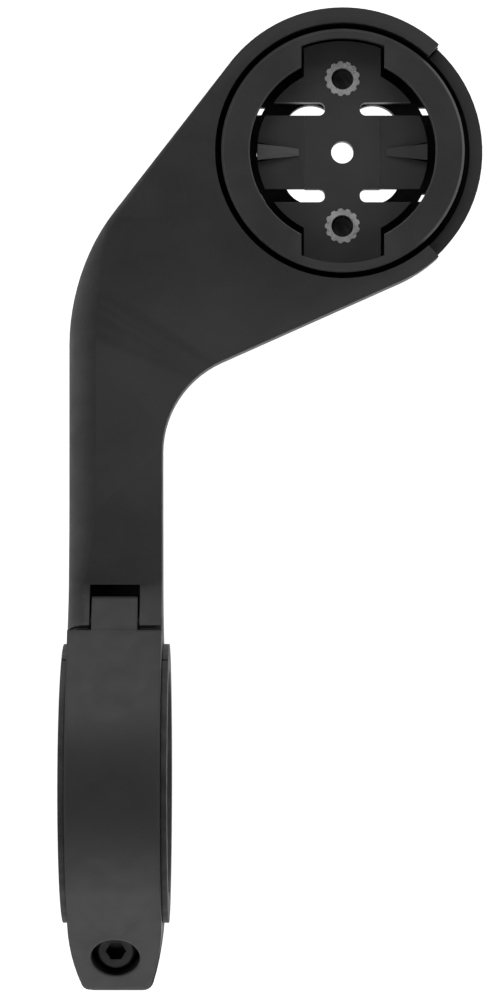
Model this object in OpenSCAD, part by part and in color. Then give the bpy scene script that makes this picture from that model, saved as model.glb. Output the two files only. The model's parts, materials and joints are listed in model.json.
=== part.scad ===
/* [Handlebar clamp] */
// Diameter of the handlebar that the clamp closes on
bar_d = 31.8; // [31.6:0.1:32.0]
// Thickness of the rubber pads between the handlebar and the clamp
pad_t = 1.5; // [1.4:0.1:1.6]
// Radial thickness of the clamp band round the pads
band_t = 3.6; // [3.5:0.1:3.8]
// Width of the hinged strap along the handlebar
strap_w = 13.05; // [12.95:0.05:13.1]
// Radius of the pad flanges that lap over the sides of the band
flange_r = 19.66; // [19.2:0.1:20.4]
// Thickness of each pad flange
flange_t = 0.85; // [0.6:0.05:1.2]
// Elevation of the front split between strap and arm, degrees
front_split_a = 26; // [25.5:0.1:26.5]

/* [Strap hinge] */
// Distance of the hinge pin in front of the handlebar axis
pin_y = 22.4; // [22.3:0.05:22.5]
// Height of the hinge pin above the handlebar axis
pin_z = 6.54; // [6.5:0.02:6.6]
// Diameter of the hinge pin
pin_d = 3.0; // [2.6:0.1:3.2]
// Running clearance on the pin's radius in the strap's tongue
pin_gap = 0.05; // [0.03:0.01:0.08]
// Width of the strap's tongue between the arm's ears
tongue_w = 6.4; // [5.8:0.02:6.6]
// Side clearance between the tongue and each ear
tongue_gap = 0.3; // [0.2:0.01:0.4]
// Slope of the strap's front face below the horizontal, degrees
slope_a = 33; // [32:0.5:34]
// Slope of the strap's rear face below the horizontal, degrees
rear_slope_a = 44.7; // [44:0.1:45.5]

/* [Clamp screw] */
// Distance behind the handlebar axis at which the screw is gripped
grip_y = -20.8; // [-21:0.1:-20.6]
// Height of the gripped point, below the handlebar axis
grip_z = -5.6; // [-5.8:0.1:-5.4]
// Diameter of the recess that takes the screw's head
recess_d = 6.9; // [6.6:0.1:7.2]
// Diameter of the screw's head
head_d = 5.3; // [5.0:0.1:5.5]
// Length of the screw under its head
screw_l = 10; // [9:0.5:10]

/* [Arm] */
// Width of the arm and of the fixed half of the clamp
arm_w = 13.1; // [13.1:0.05:13.3]
// Height of the arm's flat top above the handlebar axis
top_z = 7.4; // [7.3:0.05:7.5]
// Direction of the arm's upper reach from +X, degrees
reach_a = 52; // [50:0.5:54]
// Direction of the arm's inner edge where it meets the head, degrees
inner_a = 24; // [22:0.5:26]
// Radius of the bend on the arm's outer edge
outer_bend_r = 30; // [26:1:34]
// Radius of the bend on the arm's inner edge
inner_bend_r = 14; // [12:0.5:16]
// Radius of the soft rounding along the arm's outer top edge
soft_r = 4.6; // [3.6:0.1:4.8]

/* [Head and socket] */
// Offset of the head from the middle of the clamp, along the handlebar
head_x = 31.8; // [30:0.2:34]
// Distance of the head in front of the handlebar axis
head_y = 88.8; // [84:0.2:94]
// Outer radius of the head
head_r = 19.95; // [19.8:0.05:20.2]
// Radius of the pocket that holds the socket
pocket_r = 17.85; // [17.6:0.05:18.0]
// Outer radius of the socket ring
ring_r = 17.0; // [16.8:0.05:17.2]
// Radius of the socket's round opening
opening_r = 13.0; // [12.8:0.05:13.2]
// Radius at the ends of the two key slots
key_r = 15.75; // [15.5:0.05:15.8]
// Width of the two key slots
key_w = 11.6; // [11.2:0.1:12.0]
// Depth of the detent plate below the top of the ring
plate_drop = 3.0; // [2.8:0.05:3.2]
// Thickness of the ring's lip, under which the device's tabs turn
lip_t = 1.5; // [1.3:0.05:1.6]

/* [Hidden] */
$fn = 96;

// Colours
nylon = [0.20, 0.20, 0.21];
rubber = [0.12, 0.12, 0.12];
steel = [0.62, 0.63, 0.65];
black_steel = [0.10, 0.10, 0.11];

// Clamp band, as radii round the handlebar axis
bar_r = bar_d / 2;
pad_r = bar_r + pad_t;
band_r = pad_r + band_t;
split_gap = 0.35;
side_gap = 0.05;
far = 60;

// Front slope of the strap, tangent to the band; points here are [y, z]
slope_n = [sin(slope_a), cos(slope_a)];
slope_on_band = band_r * slope_n;
pin_c = [pin_y, pin_z];
pin_depth = band_r - pin_c * slope_n;
slope_over_pin = pin_c + pin_depth * slope_n;
slope_meets_top = [(band_r - top_z * cos(slope_a)) / sin(slope_a), top_z];
top_blend_r = 5.7;
top_blend_t = top_blend_r * tan(slope_a / 2);
top_blend_c = slope_meets_top + [top_blend_t, top_blend_r];

// Hinge radii round the pin
ear_r = 3.58;
scoop_r = 3.96;
tongue_r = 4.18;
slot_r = 4.75;
slot_end_y = pin_y + 5.8;
ear_groove_from = 1.85;
ear_groove_w = 0.4;
ear_groove_depth = 1.3;

// Clamp screw's axis: square to the line from the pin, so that it lifts straight out
screw_tilt = atan2(pin_z - grip_z, pin_y - grip_y);
strap_split_s = 1.6;
lug_top_s = 0.6;
seat_s = 6.0;
washer_t = 0.45;
head_h = 3.0;
shank_r = 1.4;
thread_r = 1.6;
hole_r = 1.7;
insert_r = 2.3;
insert_l = 5;
hex_w = 2.5;
hex_depth = 1.8;

// Rear ends of the strap and of the lug below it
strap_end_y = -29.2;
lug_end_y = -30.3;
lug_end_h = 1.75;
taper_y = -19;
strap_taper_r = 27.6;
lug_taper_r = 34.5;

// Underside of the arm
arm_bottom_z = -3;
head_bottom_z = -1.3;
head_start_y = 66;
root_blend_r = 12;
root_blend_y = sqrt(pow(band_r + root_blend_r, 2) - pow(root_blend_r - arm_bottom_z, 2));
root_blend_c = [root_blend_y, arm_bottom_z - root_blend_r];
bend_steps = 12;
recess_wall = 1.9;
recess_top_z = 3.6;
recess_start_y = 37;
rib_t = 1.3;
rib_pitch = 9.5;

// Rim step beside the head
step_from_a = -47.5;
step_to_a = 47.5;
step_r = 19.65;

// Heights in the head
floor_z = 0.9;
plate_z = top_z - plate_drop;
plate_t = 2.5;
lip_z = top_z - lip_t;
boss_z = -2.0;
boss_r = 4.2;
cavity_r = 15.9;
window_r = 12.65;
window_y = 6.1;
window_w = 1.1;

// Detent plate, seen from above
bar_half = 5.15;
slot_edge = 7.0;
neck_half = 2.45;
slot_end_r = 0.85;
plate_r = 11.9;
lobe_gap = 0.4;
arm_root_x = 5.3;
arm_tip_r = 12.0;
arm_t = 1.2;
arm_joint_gap = 0.02;
centre_hole_r = 1.575;
fix_r = 10.33;
ridge_from_x = 6.1;
ridge_h = 0.75;
crease_from_x = 7.8;
crease_depth = 0.7;
step_seam = 0.25;

// Socket inserts and their screws
socket_insert_r = 2.45;
socket_insert_bore = 1.55;
socket_insert_top = plate_z + 0.05;
socket_insert_l = 3.25;
socket_seat_z = -0.2;
socket_head_r = 2.7;
socket_head_h = 1.7;
socket_shank_l = 3;
socket_ridges = 13;

// Points as distance and direction
function polar(r, a) = [r * cos(a), r * sin(a)];
function unit(v) = v / norm(v);
function arc_points(c, r, from_a, to_a, steps, first = 0) =
  [for (i = [first:steps]) c + polar(r, from_a + (to_a - from_a) * i / steps)];

// Sharp corner at p between the sides towards a and b, less a circle that rounds it;
// over carries it past the corner, so that it can be cut away cleanly
module corner_web(p, a, b, r, over = 0) {
  u = unit(a - p);
  v = unit(b - p);
  half = acos(u * v) / 2;
  reach = r / tan(half);
  centre = p + unit(u + v) * r / sin(half);
  difference() {
    polygon([
      p - (u + v) * over,
      p + u * reach - v * over,
      p + u * reach,
      centre,
      p + v * reach,
      p + v * reach - u * over
    ]);
    translate(centre) circle(r);
  }
}

// Draws a [y, z] outline as a slab along X, centred on the clamp
module along_x(w) {
  rotate([90, 0, 90]) linear_extrude(w, center = true) children();
}

// Cylinder along X, centred on the clamp
module x_cylinder(r, w) {
  rotate([0, 90, 0]) cylinder(r = r, h = w, center = true);
}

// Moves to the clamp screw's axis: Z runs out of the strap, Y points at the hinge pin
module at_screw(s = 0) {
  translate([0, grip_y, grip_z]) rotate([screw_tilt, 0, 0]) translate([0, 0, s]) children();
}

module at_head() {
  translate([head_x, head_y, 0]) children();
}

// Height of the rear split line that lies s along the screw, at distance y
function split_z(s, y) = grip_z + (s + (y - grip_y) * sin(screw_tilt)) / cos(screw_tilt);

// Everything above the front and rear splits, in [y, z]
module upper_region() {
  polygon([
    [-bar_r / 2, split_z(strap_split_s, -bar_r / 2)],
    [0, 0],
    polar(far, front_split_a),
    [far, far],
    [-far, far],
    [-far, split_z(strap_split_s, -far)]
  ]);
}

// Everything below the front and rear splits, in [y, z]
module lower_region() {
  drop = split_gap / cos(front_split_a);
  polygon([
    [-bar_r / 2, split_z(lug_top_s, -bar_r / 2)],
    [0, -drop],
    polar(far, front_split_a) - [0, drop],
    [far, -far],
    [-far, -far],
    [-far, split_z(lug_top_s, -far)]
  ]);
}

// Everything under the strap's front slope, in [y, z]
module under_slope() {
  along = [cos(slope_a), -sin(slope_a)];
  polygon([
    slope_on_band - 5 * along,
    slope_on_band + far * along,
    [far, -far],
    [0, -far],
    [0, 0]
  ]);
}

// Right half of a rear end in plan, from its blunt end up a side that curves outwards
function end_points(half_w, end_y, taper_r, corner_r) =
  let (
    turn = asin((taper_y - end_y - corner_r) / (taper_r - corner_r)),
    side_c = [half_w - taper_r, taper_y],
    corner_c = side_c + polar(taper_r - corner_r, -turn)
  )
  concat(
    arc_points(corner_c, corner_r, -90, -turn, 5),
    arc_points(side_c, taper_r, -turn, 0, 6, 1)
  );
function mirrored(points) =
  [for (i = [len(points) - 1:-1:0]) [-points[i][0], points[i][1]]];

// Sides of the arm and rim of the head in plan, anticlockwise; inset shrinks them evenly
function arm_points(inset = 0) =
  let (
    half_w = arm_w / 2 - inset,
    hr = head_r - inset,
    head = [head_x, head_y],
    out_n = polar(1, 90 + reach_a),
    in_n = polar(1, inner_a - 90),
    bend_r = outer_bend_r - inset,
    bend_x = bend_r - half_w,
    bend_y = head_y + (hr - bend_r - (bend_x - head_x) * out_n[0]) / out_n[1],
    fillet_r = inner_bend_r + inset,
    fillet_x = half_w + fillet_r,
    fillet_y = head_y + (hr + fillet_r - (fillet_x - head_x) * in_n[0]) / in_n[1]
  )
  concat(
    arc_points([fillet_x, fillet_y], fillet_r, 180, 90 + inner_a, 14),
    arc_points(head, hr, inner_a - 90, 90 + reach_a, 72),
    arc_points([bend_x, bend_y], bend_r, 90 + reach_a, 180, bend_steps)
  );

// Arm, hinge ears and fixed half of the band seen from the side, in [y, z]
module arm_side() {
  lug_corner = [lug_end_y, split_z(lug_top_s, lug_end_y) - lug_end_h];
  lug_a = atan2(lug_corner[1], lug_corner[0]) + acos(band_r / norm(lug_corner));
  lug_on_band = polar(band_r, lug_a);
  nose_y = head_y + head_r + 2;
  intersection() {
    lower_region();
    difference() {
      union() {
        circle(band_r, $fn = 180);
        polygon([[0, 0], [lug_end_y, 0], lug_corner, lug_on_band]);
        polygon([
          [0, far / 4],
          [slope_meets_top[0], far / 4],
          slope_meets_top,
          [root_blend_y, top_z],
          [root_blend_y, arm_bottom_z],
          [0, arm_bottom_z]
        ]);
        difference() {
          polygon([
            [0, arm_bottom_z],
            [root_blend_y, arm_bottom_z],
            root_blend_c,
            unit(root_blend_c) * pad_r
          ]);
          translate(root_blend_c) circle(root_blend_r + 0.02);
        }
      }
      corner_web(lug_corner, [lug_end_y, 0], lug_on_band, 1.5, 0.5);
      circle(pad_r, $fn = 180);
      above_slope();
    }
  }
  intersection() {
    translate(pin_c) circle(ear_r);
    under_slope();
  }
  polygon([
    pin_c,
    slope_over_pin,
    slope_meets_top,
    [nose_y, top_z],
    [nose_y, head_bottom_z],
    [head_start_y, head_bottom_z],
    [root_blend_y, arm_bottom_z]
  ]);
  corner_web(slope_meets_top, slope_over_pin, [nose_y, top_z], top_blend_r);
}

// Everything above the strap's front slope, in [y, z]
module above_slope() {
  along = [cos(slope_a), -sin(slope_a)];
  polygon([
    slope_on_band - far * along,
    slope_on_band + far * along,
    slope_on_band + far * along + 40 * slope_n,
    slope_on_band - far * along + 40 * slope_n
  ]);
}

// Room for the tongue between the ears, in [y, z]
module slot_side() {
  translate(pin_c) circle(slot_r);
  polygon([
    pin_c,
    [slot_end_y, pin_z - 2.6],
    [slot_end_y, far / 2],
    [0, far / 2],
    polar(pin_y - 1, front_split_a)
  ]);
}

// Groove across the ears, at the edge of the strap's shoulders, in [y, z]
module ear_groove() {
  along = [cos(slope_a), -sin(slope_a)];
  start = slope_over_pin - ear_groove_from * along;
  end = start - ear_groove_w * along;
  polygon([
    start + slope_n,
    end + slope_n,
    end - ear_groove_depth * slope_n,
    start - ear_groove_depth * slope_n
  ]);
}

// Soft rounding of the arm's outer top edge, as stations along that edge
function edge_top_z(y) =
  y > top_blend_c[0] ? top_z :
  y > top_blend_c[0] - top_blend_r * sin(slope_a) ?
    top_blend_c[1] - sqrt(pow(top_blend_r, 2) - pow(y - top_blend_c[0], 2)) :
    (band_r - y * sin(slope_a)) / cos(slope_a);
function ease(t) = t < 0 ? 0 : t > 1 ? 1 : t * t * (3 - 2 * t);
bend_x0 = outer_bend_r - arm_w / 2;
bend_y0 = head_y
  + (head_r - outer_bend_r + (bend_x0 - head_x) * sin(reach_a)) / cos(reach_a);
bend_turn = 90 - reach_a;
reach_l = norm([head_x, head_y] + polar(head_r, 90 + reach_a)
  - [bend_x0, bend_y0] - polar(outer_bend_r, 90 + reach_a));
// Each station is [x, y, inward direction, top height, rounding radius]
edge_straight = [
  for (y = [21, 23, 25, 26, 27, 28, 29, 31, 33.5, 36, 39, 42, 50, bend_y0])
    [-arm_w / 2, y, 0, edge_top_z(y), soft_r * (0.55 + 0.45 * ease((y - 25) / 14))]
];
edge_bend = [
  for (i = [1:bend_steps])
    let (turn = bend_turn * i / bend_steps)
    [
      bend_x0 - outer_bend_r * cos(turn),
      bend_y0 + outer_bend_r * sin(turn),
      -turn,
      top_z,
      soft_r * (1 - 0.75 * ease(1.33 * i / bend_steps - 0.33))
    ]
];
edge_reach = [
  for (i = [1:6])
    let (at = polar(reach_l * i / 6, reach_a))
    [
      bend_x0 - outer_bend_r * cos(bend_turn) + at[0],
      bend_y0 + outer_bend_r * sin(bend_turn) + at[1],
      -bend_turn,
      top_z,
      soft_r * 0.25 * (1 - 0.9 * i / 6)
    ]
];
edge_stations = concat(edge_straight, edge_bend, edge_reach);
edge_steps = 10;
edge_out = 2;
edge_sink = 0.99;
// One closed ring of the cutter: its outer corner, then the arc that stays on the arm
function edge_ring(st) =
  let (
    r = st[4],
    c = r * edge_sink,
    arc = [for (k = [0:edge_steps]) [c - r * sin(90 * k / edge_steps), r * cos(90 * k / edge_steps) - c]],
    flat = concat([[-edge_out, edge_out], [c, edge_out]], arc, [[-edge_out, -c]])
  )
  [for (p = flat) [st[0] + p[0] * cos(st[2]), st[1] + p[0] * sin(st[2]), st[3] + p[1]]];
module soft_edge_cut() {
  rings = [for (st = edge_stations) edge_ring(st)];
  n = len(rings[0]);
  last = len(rings) - 1;
  points = [for (ring = rings) for (p = ring) p];
  sides = [
    for (i = [0:last - 1])
      for (k = [0:n - 1])
        let (a = i * n + k, b = i * n + (k + 1) % n)
        each [[a, b + n, b], [a, a + n, b + n]]
  ];
  start_cap = [for (k = [0:n - 1]) k];
  end_cap = [for (k = [0:n - 1]) last * n + n - 1 - k];
  polyhedron(points, concat(sides, [start_cap, end_cap]), convexity = 6);
}

// Sector of the head between two directions, in plan
module head_sector(from_a, to_a) {
  mid_a = (from_a + to_a) / 2;
  polygon([[0, 0], polar(far, from_a), polar(1.4 * far, mid_a), polar(far, to_a)]);
}

// Openings through the floor of the head, in plan
module floor_windows() {
  circle(2.2);
  difference() {
    for (end = [-1, 1]) {
      translate([0, end * window_y]) square([2 * cavity_r - 5, window_w], center = true);
    }
    circle(window_r, $fn = 180);
  }
  for (side = [-1, 1]) {
    translate([side * 4.4, 0]) square([7.6, 6.4], center = true);
    for (end = [-1, 1]) {
      translate([side * 4.4, end * 3.2]) circle(3.8);
    }
  }
}

// Hollow in the underside of the arm, left in bays by cross ribs
module underside_bays() {
  sides = arm_points(recess_wall);
  difference() {
    polygon(concat([[sides[0][0], recess_start_y]], sides, [[-sides[0][0], recess_start_y]]));
    translate([head_x, head_y]) circle(head_r + 0.2, $fn = 180);
    for (i = [1:5]) {
      translate([0, recess_start_y + i * rib_pitch - rib_t / 2])
        rotate(i < 4 ? 0 : -6 * (i - 3))
          translate([-far / 2, 0]) square([far * 1.5, rib_t]);
    }
    translate([0, recess_start_y]) rotate(-16) translate([7.6, 20]) square([rib_t, 60]);
  }
}

module body_plan() {
  rear = end_points(arm_w / 2, lug_end_y, lug_taper_r, 1.6);
  polygon(concat(rear, arm_points(), mirrored(rear)));
}

module arm_body() {
  color(nylon) difference() {
    union() {
      intersection() {
        translate([0, 0, -far / 2]) linear_extrude(far) body_plan();
        along_x(4 * far) arm_side();
      }
      at_head() for (end = [-1, 1]) {
        translate([0, end * fix_r, boss_z]) cylinder(r = boss_r, h = floor_z - boss_z);
      }
    }
    // hinge
    along_x(tongue_w + 2 * tongue_gap) slot_side();
    along_x(arm_w + 2) ear_groove();
    translate([0, pin_y, pin_z]) x_cylinder(pin_d / 2, arm_w + 2);
    // threaded insert of the clamp screw, and the hole below it
    at_screw(lug_top_s - insert_l - 0.2) cylinder(r = insert_r, h = insert_l + 1);
    at_screw(-14) cylinder(r = hole_r, h = 14);
    // socket pocket and the step in its rim
    at_head() {
      translate([0, 0, floor_z]) cylinder(r = pocket_r, h = 20, $fn = 180);
      translate([0, 0, -5]) linear_extrude(30) difference() {
        head_sector(step_from_a, step_to_a);
        circle(step_r, $fn = 180);
      }
      translate([0, 0, plate_z]) linear_extrude(20) difference() {
        head_sector(step_from_a, step_to_a);
        circle(pocket_r - 1);
      }
      for (a = [step_from_a, step_to_a]) {
        rotate(a) translate([pocket_r - 1, -step_seam / 2, plate_z - 1]) cube([4, step_seam, 20]);
      }
      translate([0, 0, -5]) linear_extrude(10) floor_windows();
      for (turn = [0:90:270]) {
        rotate(turn) translate([fix_r, 0, -5]) cylinder(r = hole_r, h = 10);
      }
      for (end = [-1, 1]) {
        translate([0, end * fix_r, boss_z - 5]) cylinder(r = 2.95, h = socket_seat_z - boss_z + 5);
      }
    }
    translate([0, 0, arm_bottom_z - 1])
      linear_extrude(recess_top_z - arm_bottom_z + 1) underside_bays();
    soft_edge_cut();
  }
}

module hinge_pin() {
  color(black_steel) translate([0, pin_y, pin_z]) x_cylinder(pin_d / 2, arm_w - 0.6);
}

// Strap seen from the side, without the hollow that clears the ears, in [y, z]
module strap_side() {
  rear_n = [-sin(rear_slope_a), cos(rear_slope_a)];
  rear_corner = [strap_end_y, (band_r + strap_end_y * sin(rear_slope_a)) / cos(rear_slope_a)];
  intersection() {
    upper_region();
    difference() {
      union() {
        circle(band_r, $fn = 180);
        polygon([
          [0, 0],
          polar(norm(pin_c) * cos(front_split_a - atan2(pin_z, pin_y)), front_split_a),
          pin_c,
          slope_over_pin,
          slope_on_band
        ]);
        polygon([[0, 0], band_r * rear_n, rear_corner, [strap_end_y, -10], [0, -10]]);
      }
      corner_web(rear_corner, band_r * rear_n, [strap_end_y, -10], 0.9, 0.5);
      circle(pad_r, $fn = 180);
    }
  }
}

module clamp_strap() {
  rear = end_points(strap_w / 2, strap_end_y, strap_taper_r, 1.3);
  front_y = pin_y + 4;
  shoulder_w = (strap_w - tongue_w) / 2;
  color(nylon) difference() {
    union() {
      intersection() {
        along_x(strap_w) strap_side();
        translate([0, 0, -far / 2]) linear_extrude(far)
          polygon(concat(rear, [[strap_w / 2, front_y], [-strap_w / 2, front_y]], mirrored(rear)));
      }
      along_x(tongue_w) intersection() {
        translate(pin_c) circle(tongue_r);
        under_slope();
      }
    }
    for (side = [-1, 1]) {
      translate([side * (tongue_w / 2 + shoulder_w), pin_y, pin_z])
        x_cylinder(scoop_r, 2 * shoulder_w);
    }
    translate([0, pin_y, pin_z]) x_cylinder(pin_d / 2 + pin_gap, strap_w);
    at_screw() cylinder(r = hole_r, h = 20);
    at_screw(seat_s) cylinder(r = recess_d / 2, h = 20);
  }
}

// Whole pad ring with its side flanges, before it is split
module pad_ring() {
  body_w = arm_w + 2 * side_gap;
  difference() {
    union() {
      x_cylinder(pad_r, body_w);
      for (side = [-1, 1]) {
        translate([side * (body_w + flange_t) / 2, 0, 0]) x_cylinder(flange_r, flange_t);
      }
    }
    x_cylinder(bar_r, 2 * arm_w);
  }
}

module upper_pad() {
  color(rubber) intersection() {
    pad_ring();
    along_x(2 * arm_w) upper_region();
  }
}

module lower_pad() {
  color(rubber) intersection() {
    pad_ring();
    along_x(2 * arm_w) lower_region();
  }
}

// Cap-head screw with a hexagon socket; Z = 0 is the seat under its head
module cap_screw(shank, length, cap_r, cap_h, hex, depth) {
  difference() {
    union() {
      rotate_extrude() polygon([
        [0, 0], [cap_r, 0], [cap_r, cap_h - 0.3], [cap_r - 0.3, cap_h], [0, cap_h]
      ]);
      rotate_extrude() polygon([
        [0, 0.1], [shank, 0.1], [shank, 0.3 - length], [shank - 0.3, -length], [0, -length]
      ]);
    }
    translate([0, 0, cap_h - depth]) cylinder(r = hex / sqrt(3), h = depth + 1, $fn = 6);
  }
}

module clamp_screw() {
  color(black_steel) at_screw(seat_s + washer_t)
    cap_screw(shank_r, screw_l, head_d / 2, head_h, hex_w, hex_depth);
}

module clamp_washer() {
  color(black_steel) at_screw(seat_s) difference() {
    cylinder(r = recess_d / 2 - 0.25, h = washer_t);
    translate([0, 0, -1]) cylinder(r = hole_r - 0.05, h = 3);
  }
}

// Knurled rod that hangs down from Z = 0
module knurl(r, length, ridges) {
  difference() {
    translate([0, 0, -length]) cylinder(r = r, h = length);
    for (i = [0:ridges - 1]) {
      rotate(360 * i / ridges) translate([r + 0.12, 0, -length - 1])
        cylinder(r = 0.36, h = length + 2, $fn = 24);
    }
  }
}

// Knurled threaded insert; Z = 0 is its upper end
module knurled_insert(r, bore, length, ridges) {
  difference() {
    knurl(r, length, ridges);
    translate([0, 0, -length - 1]) cylinder(r = bore, h = length + 2);
  }
}

module clamp_insert() {
  color(steel) at_screw(lug_top_s - 0.2) knurled_insert(insert_r, thread_r, insert_l, 13);
}

module socket_ring() {
  shelf_t = 0.9;
  color(nylon) at_head() {
    difference() {
      rotate_extrude($fn = 180) polygon([
        [cavity_r, floor_z],
        [ring_r, floor_z],
        [ring_r, top_z - 0.35],
        [ring_r - 0.35, top_z],
        [opening_r + 0.2, top_z],
        [opening_r, top_z - 0.2],
        [opening_r, lip_z],
        [cavity_r, lip_z]
      ]);
      translate([0, 0, lip_z - 1]) linear_extrude(5) intersection() {
        circle(key_r, $fn = 180);
        square([key_w, 4 * key_r], center = true);
      }
    }
    translate([0, 0, floor_z]) linear_extrude(shelf_t) intersection() {
      difference() {
        circle(cavity_r + 0.3, $fn = 180);
        circle(14.6, $fn = 180);
      }
      square([key_w - 1, 4 * key_r], center = true);
    }
  }
}

module detent_plate() {
  lobe_w = key_w - 2 * lobe_gap;
  color(nylon) at_head() difference() {
    union() {
      translate([0, 0, plate_z - plate_t]) linear_extrude(plate_t) difference() {
        union() {
          circle(plate_r, $fn = 180);
          intersection() {
            circle(key_r - 0.15, $fn = 180);
            square([lobe_w, 4 * key_r], center = true);
          }
        }
        for (side = [-1, 1]) {
          translate([side * (arm_root_x + 10), 0]) square([20, 2 * bar_half], center = true);
          for (end = [-1, 1]) scale_slot(side, end);
        }
      }
      for (end = [-1, 1]) {
        translate([0, end * fix_r, floor_z]) cylinder(r = 3.3, h = plate_z - plate_t - floor_z + 0.1);
      }
    }
    translate([0, 0, -5]) cylinder(r = centre_hole_r, h = 20);
    for (end = [-1, 1]) {
      translate([0, end * fix_r, -5]) cylinder(r = 2, h = 20);
      translate([0, end * fix_r, 20]) knurl(socket_insert_r, 40, socket_ridges);
    }
  }
}

// One slot beside the detent bar, with a round inner end, in plan
module scale_slot(side, end) {
  mid = (bar_half + slot_edge) / 2;
  half = (slot_edge - bar_half) / 2;
  inner = neck_half + slot_end_r;
  translate([side * (inner + 10), end * mid]) square([20, 2 * half], center = true);
  translate([side * inner, end * mid]) square([2 * slot_end_r, 0.15], center = true);
  for (edge = [-1, 1]) {
    translate([side * inner, end * mid + edge * (half - slot_end_r)]) circle(slot_end_r, $fn = 32);
  }
}

// Spring arm at one end of the detent bar, with its ridge; side is -1 left, 1 right
module detent_arm(side) {
  root = arm_root_x + arm_joint_gap;
  ridge_x = [ridge_from_x, arm_tip_r - 0.1];
  color(nylon) at_head() mirror([side < 0 ? 1 : 0, 0, 0]) {
    difference() {
      translate([0, 0, plate_z - arm_t]) linear_extrude(arm_t) intersection() {
        circle(arm_tip_r, $fn = 180);
        translate([root, -bar_half]) square([10, 2 * bar_half]);
      }
      translate([0, 0, plate_z - crease_depth]) linear_extrude(2) for (edge = [-1, 1]) {
        polygon([[crease_from_x, edge * 0.6], [arm_tip_r + 1, edge * 0.9], [arm_tip_r + 1, edge * 1.6]]);
      }
    }
    intersection() {
      linear_extrude(20) polygon([
        [ridge_x[0], -0.5], [ridge_x[1], -1.12], [ridge_x[1], 1.12], [ridge_x[0], 0.5]
      ]);
      rotate([90, 0, 0]) linear_extrude(6, center = true) polygon([
        [ridge_x[0], plate_z - crease_depth - 0.1],
        [ridge_x[1], plate_z - crease_depth - 0.1],
        [ridge_x[1], plate_z + ridge_h],
        [ridge_x[0], plate_z + 0.12]
      ]);
    }
  }
}

module detent_arm_left() {
  detent_arm(-1);
}

module detent_arm_right() {
  detent_arm(1);
}

module socket_insert(end) {
  color(steel) at_head() translate([0, end * fix_r, socket_insert_top])
    knurled_insert(socket_insert_r, socket_insert_bore, socket_insert_l, socket_ridges);
}

module socket_insert_front() {
  socket_insert(1);
}

module socket_insert_rear() {
  socket_insert(-1);
}

module socket_screw(end) {
  color(black_steel) at_head() translate([0, end * fix_r, socket_seat_z]) mirror([0, 0, 1])
    cap_screw(1.5, socket_shank_l, socket_head_r, socket_head_h, 2, 1);
}

module socket_screw_front() {
  socket_screw(1);
}

module socket_screw_rear() {
  socket_screw(-1);
}

arm_body();
hinge_pin();
clamp_strap();
upper_pad();
lower_pad();
clamp_screw();
clamp_washer();
clamp_insert();
socket_ring();
detent_plate();
detent_arm_left();
detent_arm_right();
socket_insert_front();
socket_insert_rear();
socket_screw_front();
socket_screw_rear();
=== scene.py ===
"""Out-front handlebar mount for a cycling computer: looks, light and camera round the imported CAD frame."""

import json
import math

import bpy
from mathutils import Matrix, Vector


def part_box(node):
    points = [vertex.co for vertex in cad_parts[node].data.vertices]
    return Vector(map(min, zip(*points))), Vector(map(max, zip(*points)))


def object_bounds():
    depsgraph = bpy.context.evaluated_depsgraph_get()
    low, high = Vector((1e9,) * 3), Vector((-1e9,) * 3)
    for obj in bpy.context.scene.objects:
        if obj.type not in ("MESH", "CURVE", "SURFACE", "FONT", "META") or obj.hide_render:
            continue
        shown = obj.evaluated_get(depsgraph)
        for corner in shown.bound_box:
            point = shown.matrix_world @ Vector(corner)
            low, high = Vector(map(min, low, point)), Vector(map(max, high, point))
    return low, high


MM = 0.001

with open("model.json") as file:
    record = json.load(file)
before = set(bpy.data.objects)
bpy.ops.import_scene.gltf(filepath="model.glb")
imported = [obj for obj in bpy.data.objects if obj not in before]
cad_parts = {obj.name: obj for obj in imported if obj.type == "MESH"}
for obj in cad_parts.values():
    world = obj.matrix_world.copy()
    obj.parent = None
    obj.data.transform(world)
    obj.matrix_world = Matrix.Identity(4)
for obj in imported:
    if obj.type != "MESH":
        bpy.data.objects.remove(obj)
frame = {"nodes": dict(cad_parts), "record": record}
cad_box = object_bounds()
cad = frame["nodes"]
cad_low, cad_high = cad_box
middle = (cad_low + cad_high) / 2


# ---------- Material building ----------


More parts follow.
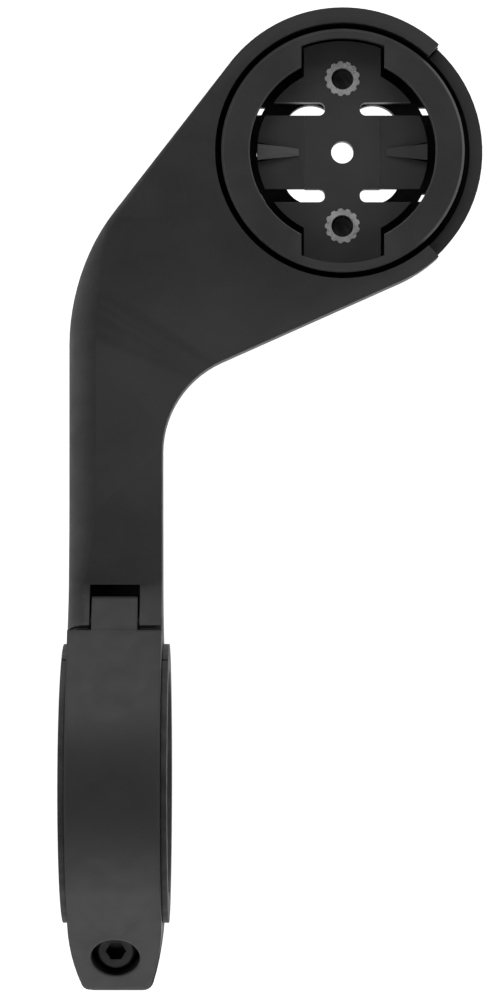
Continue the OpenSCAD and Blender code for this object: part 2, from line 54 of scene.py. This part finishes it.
class Shader:
    """A node material: keeps the tree, and makes and links nodes in few words."""

    def __init__(self, name, roughness, specular=0.5, metallic=0.0):
        self.material = bpy.data.materials.new(name)
        self.material.use_nodes = True
        self.tree = self.material.node_tree
        self.surface = self.tree.nodes["Principled BSDF"]
        self.surface.inputs["Metallic"].default_value = metallic
        self.surface.inputs["Roughness"].default_value = roughness
        self.surface.inputs["Specular IOR Level"].default_value = specular
        self.place = self.add("ShaderNodeTexCoord").outputs["Object"]

    def add(self, kind, **settings):
        node = self.tree.nodes.new(kind)
        for key, value in settings.items():
            setattr(node, key, value)
        return node

    def link(self, source, target):
        self.tree.links.new(source, target)

    def noise(self, size_mm, detail=3.0, stretch=(1, 1, 1)):
        """Noise whose grain is about size_mm across, stretched along the axes."""
        mapping = self.add("ShaderNodeMapping")
        mapping.inputs["Scale"].default_value = [1 / s for s in stretch]
        self.link(self.place, mapping.inputs["Vector"])
        noise = self.add("ShaderNodeTexNoise")
        noise.inputs["Scale"].default_value = 1 / (size_mm * MM)
        noise.inputs["Detail"].default_value = detail
        self.link(mapping.outputs["Vector"], noise.inputs["Vector"])
        return noise.outputs["Fac"]

    def spread(self, value, low, high, to_low=0, to_high=1):
        """Maps value from low..high to to_low..to_high, clamped."""
        node = self.add("ShaderNodeMapRange")
        for socket, number in zip(node.inputs[1:5], (low, high, to_low, to_high)):
            socket.default_value = number
        self.link(value, node.inputs["Value"])
        return node.outputs["Result"]

    def mix(self, factor, first, second):
        """Colour between first and second, each a colour or a socket."""
        node = self.add("ShaderNodeMix", data_type="RGBA")
        self.link(factor, node.inputs["Factor"])
        for socket, colour in ((node.inputs[6], first), (node.inputs[7], second)):
            if isinstance(colour, bpy.types.NodeSocket):
                self.link(colour, socket)
            else:
                socket.default_value = (*colour, 1)
        return node.outputs[2]

    def bump(self, height, depth_mm, strength, after=None):
        """Normals bumped by height, on top of the normals in after."""
        node = self.add("ShaderNodeBump")
        node.inputs["Strength"].default_value = strength
        node.inputs["Distance"].default_value = depth_mm * MM
        self.link(height, node.inputs["Height"])
        if after:
            self.link(after, node.inputs["Normal"])
        return node.outputs["Normal"]

    def edges(self, most):
        """most along the outer edges, 0 elsewhere: rubbed wear on the steel, a painted highlight on the
        plastic.
        """
        pointiness = self.add("ShaderNodeNewGeometry").outputs["Pointiness"]
        return self.spread(pointiness, 0.52, 0.60, 0, most)

    def rounded(self, radius_mm):
        """Normals that round the sharp edges off by radius_mm."""
        node = self.add("ShaderNodeBevel", samples=6)
        node.inputs["Radius"].default_value = radius_mm * MM
        return node.outputs["Normal"]

    def finish(self, colour, roughness, normal):
        self.link(colour, self.surface.inputs["Base Color"])
        self.link(roughness, self.surface.inputs["Roughness"])
        self.link(normal, self.surface.inputs["Normal"])
        return self.material


def grey(value, blue=0.0):
    return (value, value, value * (1 + blue))


PLATE_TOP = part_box("detent_plate")[1].z


def moulded_plastic(name, tone, roughness, grain_mm, grain, edge_mm, ridge_highlight=0.0):
    """Black moulded nylon: cloudy tone, spark-eroded grain, and edges painted a little paler as a highlight.
    edge_mm is how far its sharp edges are rounded off. The last argument paints a streaked highlight
    on a detent ridge's top, above the plate; it is how strong that painted highlight is."""
    s = Shader(name, roughness, specular=0.4)
    cloud = s.spread(s.noise(9), 0.35, 0.65)
    flecks = s.spread(s.noise(0.35, 2), 0.62, 0.75, 0, 0.35)
    body = s.mix(cloud, grey(tone * 0.85), grey(tone * 1.15, 0.03))
    fibred = s.mix(flecks, body, grey(tone * 1.9))
    # Edges painted paler: a painted highlight where they catch the light.
    colour = s.mix(s.edges(0.5), fibred, grey(tone * 2.2))
    # Painted highlight: a detent ridge's top, above the plate, is painted paler in streaks.
    if ridge_highlight:
        height = s.add("ShaderNodeSeparateXYZ")
        s.link(s.place, height.inputs["Vector"])
        ridge = s.spread(height.outputs["Z"], PLATE_TOP + 0.03 * MM, PLATE_TOP + 0.12 * MM, 0, ridge_highlight)
        streaked_highlight = s.mix(s.noise(0.4, 4, stretch=(8, 1, 1)), grey(tone * 2.2), grey(tone * 4.2))
        colour = s.mix(ridge, colour, streaked_highlight)
    rough = s.spread(s.noise(2.5, 4), 0.3, 0.7, roughness - 0.06, roughness + 0.08)
    coarse = s.bump(s.noise(1.6, 2), 0.03, 0.25, s.rounded(edge_mm))
    return s.finish(colour, rough, s.bump(s.noise(grain_mm, 3), 0.02, grain, coarse))


def arm_nylon(name, tone, roughness, edge_mm):
    return moulded_plastic(name, tone, roughness, 0.28, 0.35, edge_mm)


def socket_nylon(name, tone, edge_mm, ridge_highlight=0.0):
    return moulded_plastic(name, tone, 0.48, 0.22, 0.22, edge_mm, ridge_highlight)


def rubber(name):
    """Matt black rubber with dust in its surface."""
    s = Shader(name, 0.75, specular=0.3)
    dust = s.spread(s.noise(3, 5), 0.45, 0.75)
    colour = s.mix(dust, grey(0.055), grey(0.090))
    rough = s.spread(s.noise(1.2), 0.3, 0.7, 0.62, 0.85)
    return s.finish(colour, rough, s.bump(s.noise(0.5, 3), 0.03, 0.5, s.rounded(0.3)))


def bright_steel(name):
    """Bright steel with fine turning lines and a few dull spots."""
    s = Shader(name, 0.3, metallic=0.45)
    lines = s.noise(0.25, 2, stretch=(1, 1, 12))
    colour = s.mix(s.spread(s.noise(1.5, 4), 0.35, 0.7), grey(0.72), (0.98, 0.97, 0.95))
    rough = s.spread(s.noise(0.8, 3), 0.3, 0.7, 0.22, 0.42)
    return s.finish(colour, rough, s.bump(lines, 0.008, 0.35))


def black_oxide(name):
    """Black-oxide steel, worn a little paler in patches and along its edges."""
    s = Shader(name, 0.4)
    worn = s.spread(s.noise(0.9, 5), 0.60, 0.78, 0, 0.6)
    base = s.mix(worn, grey(0.008, 0.06), grey(0.03))
    colour = s.mix(s.edges(0.7), base, grey(0.06))
    rough = s.spread(s.noise(0.7, 3), 0.3, 0.7, 0.40, 0.55)
    return s.finish(colour, rough, s.bump(s.noise(0.3, 2), 0.01, 0.3))


def pale(name):
    """Off-white surface that glows a little, so that it stays pale away from the lights."""
    s = Shader(name, 0.9, specular=0.1)
    tone = s.mix(s.spread(s.noise(60, 2), 0.3, 0.7), grey(0.93), grey(0.95))
    s.link(tone, s.surface.inputs["Base Color"])
    s.surface.inputs["Emission Color"].default_value = (1, 1, 1, 1)
    s.surface.inputs["Emission Strength"].default_value = 0.75
    return s.material


# ---------- CAD pieces: material and softened edges ----------

SLOT_MATERIALS = {
    "nylon": arm_nylon("nylon_black", tone=0.034, roughness=0.68, edge_mm=0.12),
    "socket_nylon": socket_nylon("socket_nylon_black", tone=0.040, edge_mm=0.08),
    "rubber": rubber("rubber_black"),
    "steel": bright_steel("steel_bright"),
    "black_steel": black_oxide("steel_black_oxide"),
}
OWN_MATERIALS = {
    "clamp_strap": arm_nylon("nylon_black_strap", tone=0.027, roughness=0.55, edge_mm=0.70),
    # Painted highlight on the detent ridges: strong on the left one, faint on the right one.
    "detent_arm_left": socket_nylon("nylon_detent_left", tone=0.038, edge_mm=0.05, ridge_highlight=1.0),
    "detent_arm_right": socket_nylon("nylon_detent_right", tone=0.038, edge_mm=0.05, ridge_highlight=0.08),
}


WELD_GAP = 0.002 * MM
SHARP_ANGLE = math.radians(28)
FLAT_FACE_WEIGHT = 100


def even_shading(obj):
    """Splits a moulding's shading at its real edges, and keeps its flat faces evenly shaded."""
    obj.modifiers.new("weld", "WELD").merge_threshold = WELD_GAP
    obj.modifiers.new("edges", "EDGE_SPLIT").split_angle = SHARP_ANGLE
    obj.modifiers.new("normals", "WEIGHTED_NORMAL").weight = FLAT_FACE_WEIGHT


for row in frame["record"]["subparts"]:
    piece = cad[row["node"]]
    piece.data.materials.clear()
    usual = SLOT_MATERIALS[row["material_slot"]]
    piece.data.materials.append(OWN_MATERIALS.get(row["node"], usual))
    even_shading(piece)


# ---------- Studio, light and camera ----------

FLOOR_GAP = 1.0 * MM
STUDIO_RADIUS = 9.0
WALL_HEIGHT = 1.2
STUDIO_SIDES = 64


def studio(z):
    """Round floor at height z, with a low wall round it that hides the dark beyond."""
    bpy.ops.mesh.primitive_circle_add(
        vertices=STUDIO_SIDES, radius=STUDIO_RADIUS, fill_type="NGON", location=(0, 0, z)
    )
    floor = bpy.context.object
    floor.name = "floor"
    bpy.ops.mesh.primitive_cylinder_add(
        vertices=STUDIO_SIDES,
        radius=STUDIO_RADIUS,
        depth=WALL_HEIGHT,
        end_fill_type="NOTHING",
        location=(0, 0, z + WALL_HEIGHT / 2),
    )
    wall = bpy.context.object
    wall.name = "backdrop"
    material = pale("floor_pale")
    for stage_piece in (floor, wall):
        stage_piece.data.materials.append(material)


def softbox(name, place, size, watts):
    """Rectangular light at place, aimed at the middle of the object."""
    light = bpy.data.lights.new(name, "AREA")
    light.shape = "RECTANGLE"
    light.size, light.size_y = size
    light.energy = watts
    lamp = bpy.data.objects.new(name, light)
    lamp.location = place
    lamp.rotation_euler = (middle - Vector(place)).to_track_quat("-Z", "Y").to_euler()
    bpy.context.scene.collection.objects.link(lamp)


def sky(side_light, top_light):
    """Faint surround, a little brighter at the sides than overhead."""
    world = bpy.data.worlds.new("surround")
    world.use_nodes = True
    bpy.context.scene.world = world
    tree = world.node_tree
    place = tree.nodes.new("ShaderNodeTexCoord")
    split = tree.nodes.new("ShaderNodeSeparateXYZ")
    fade = tree.nodes.new("ShaderNodeMapRange")
    fade.inputs["From Min"].default_value = 0.1
    fade.inputs["From Max"].default_value = 1.0
    fade.inputs["To Min"].default_value = side_light
    fade.inputs["To Max"].default_value = top_light
    tree.links.new(place.outputs["Generated"], split.inputs["Vector"])
    tree.links.new(split.outputs["Z"], fade.inputs["Value"])
    tree.links.new(fade.outputs["Result"], tree.nodes["Background"].inputs["Strength"])


studio(cad_low.z - FLOOR_GAP)
sky(side_light=0.50, top_light=0.46)
softbox("left_box", (-0.50, 0.04, 0.28), size=(0.9, 0.5), watts=1.25)
softbox("right_box", (0.60, 0.06, 0.22), size=(0.9, 0.3), watts=1.5)
softbox("rear_box", (0.0, -0.60, 0.35), size=(0.7, 0.4), watts=1.3)
softbox("front_box", (0.0, 0.75, 0.40), size=(0.7, 0.4), watts=2.25)
bpy.context.scene.view_settings.view_transform = "Standard"

# The camera looks straight down. Its axis meets the object between the clamp and the head.
CAMERA_AT = (18.35 * MM, 40.02 * MM, 537.4 * MM)
SENSOR_MM = 36
LENS_MM = 136.8

camera_data = bpy.data.cameras.new("camera")
camera_data.sensor_fit = "VERTICAL"
camera_data.sensor_height = SENSOR_MM
camera_data.lens = LENS_MM
camera_data.clip_start = 0.01
camera_data.clip_end = 20
camera = bpy.data.objects.new("camera", camera_data)
camera.location = CAMERA_AT
bpy.context.scene.collection.objects.link(camera)
bpy.context.scene.camera = camera
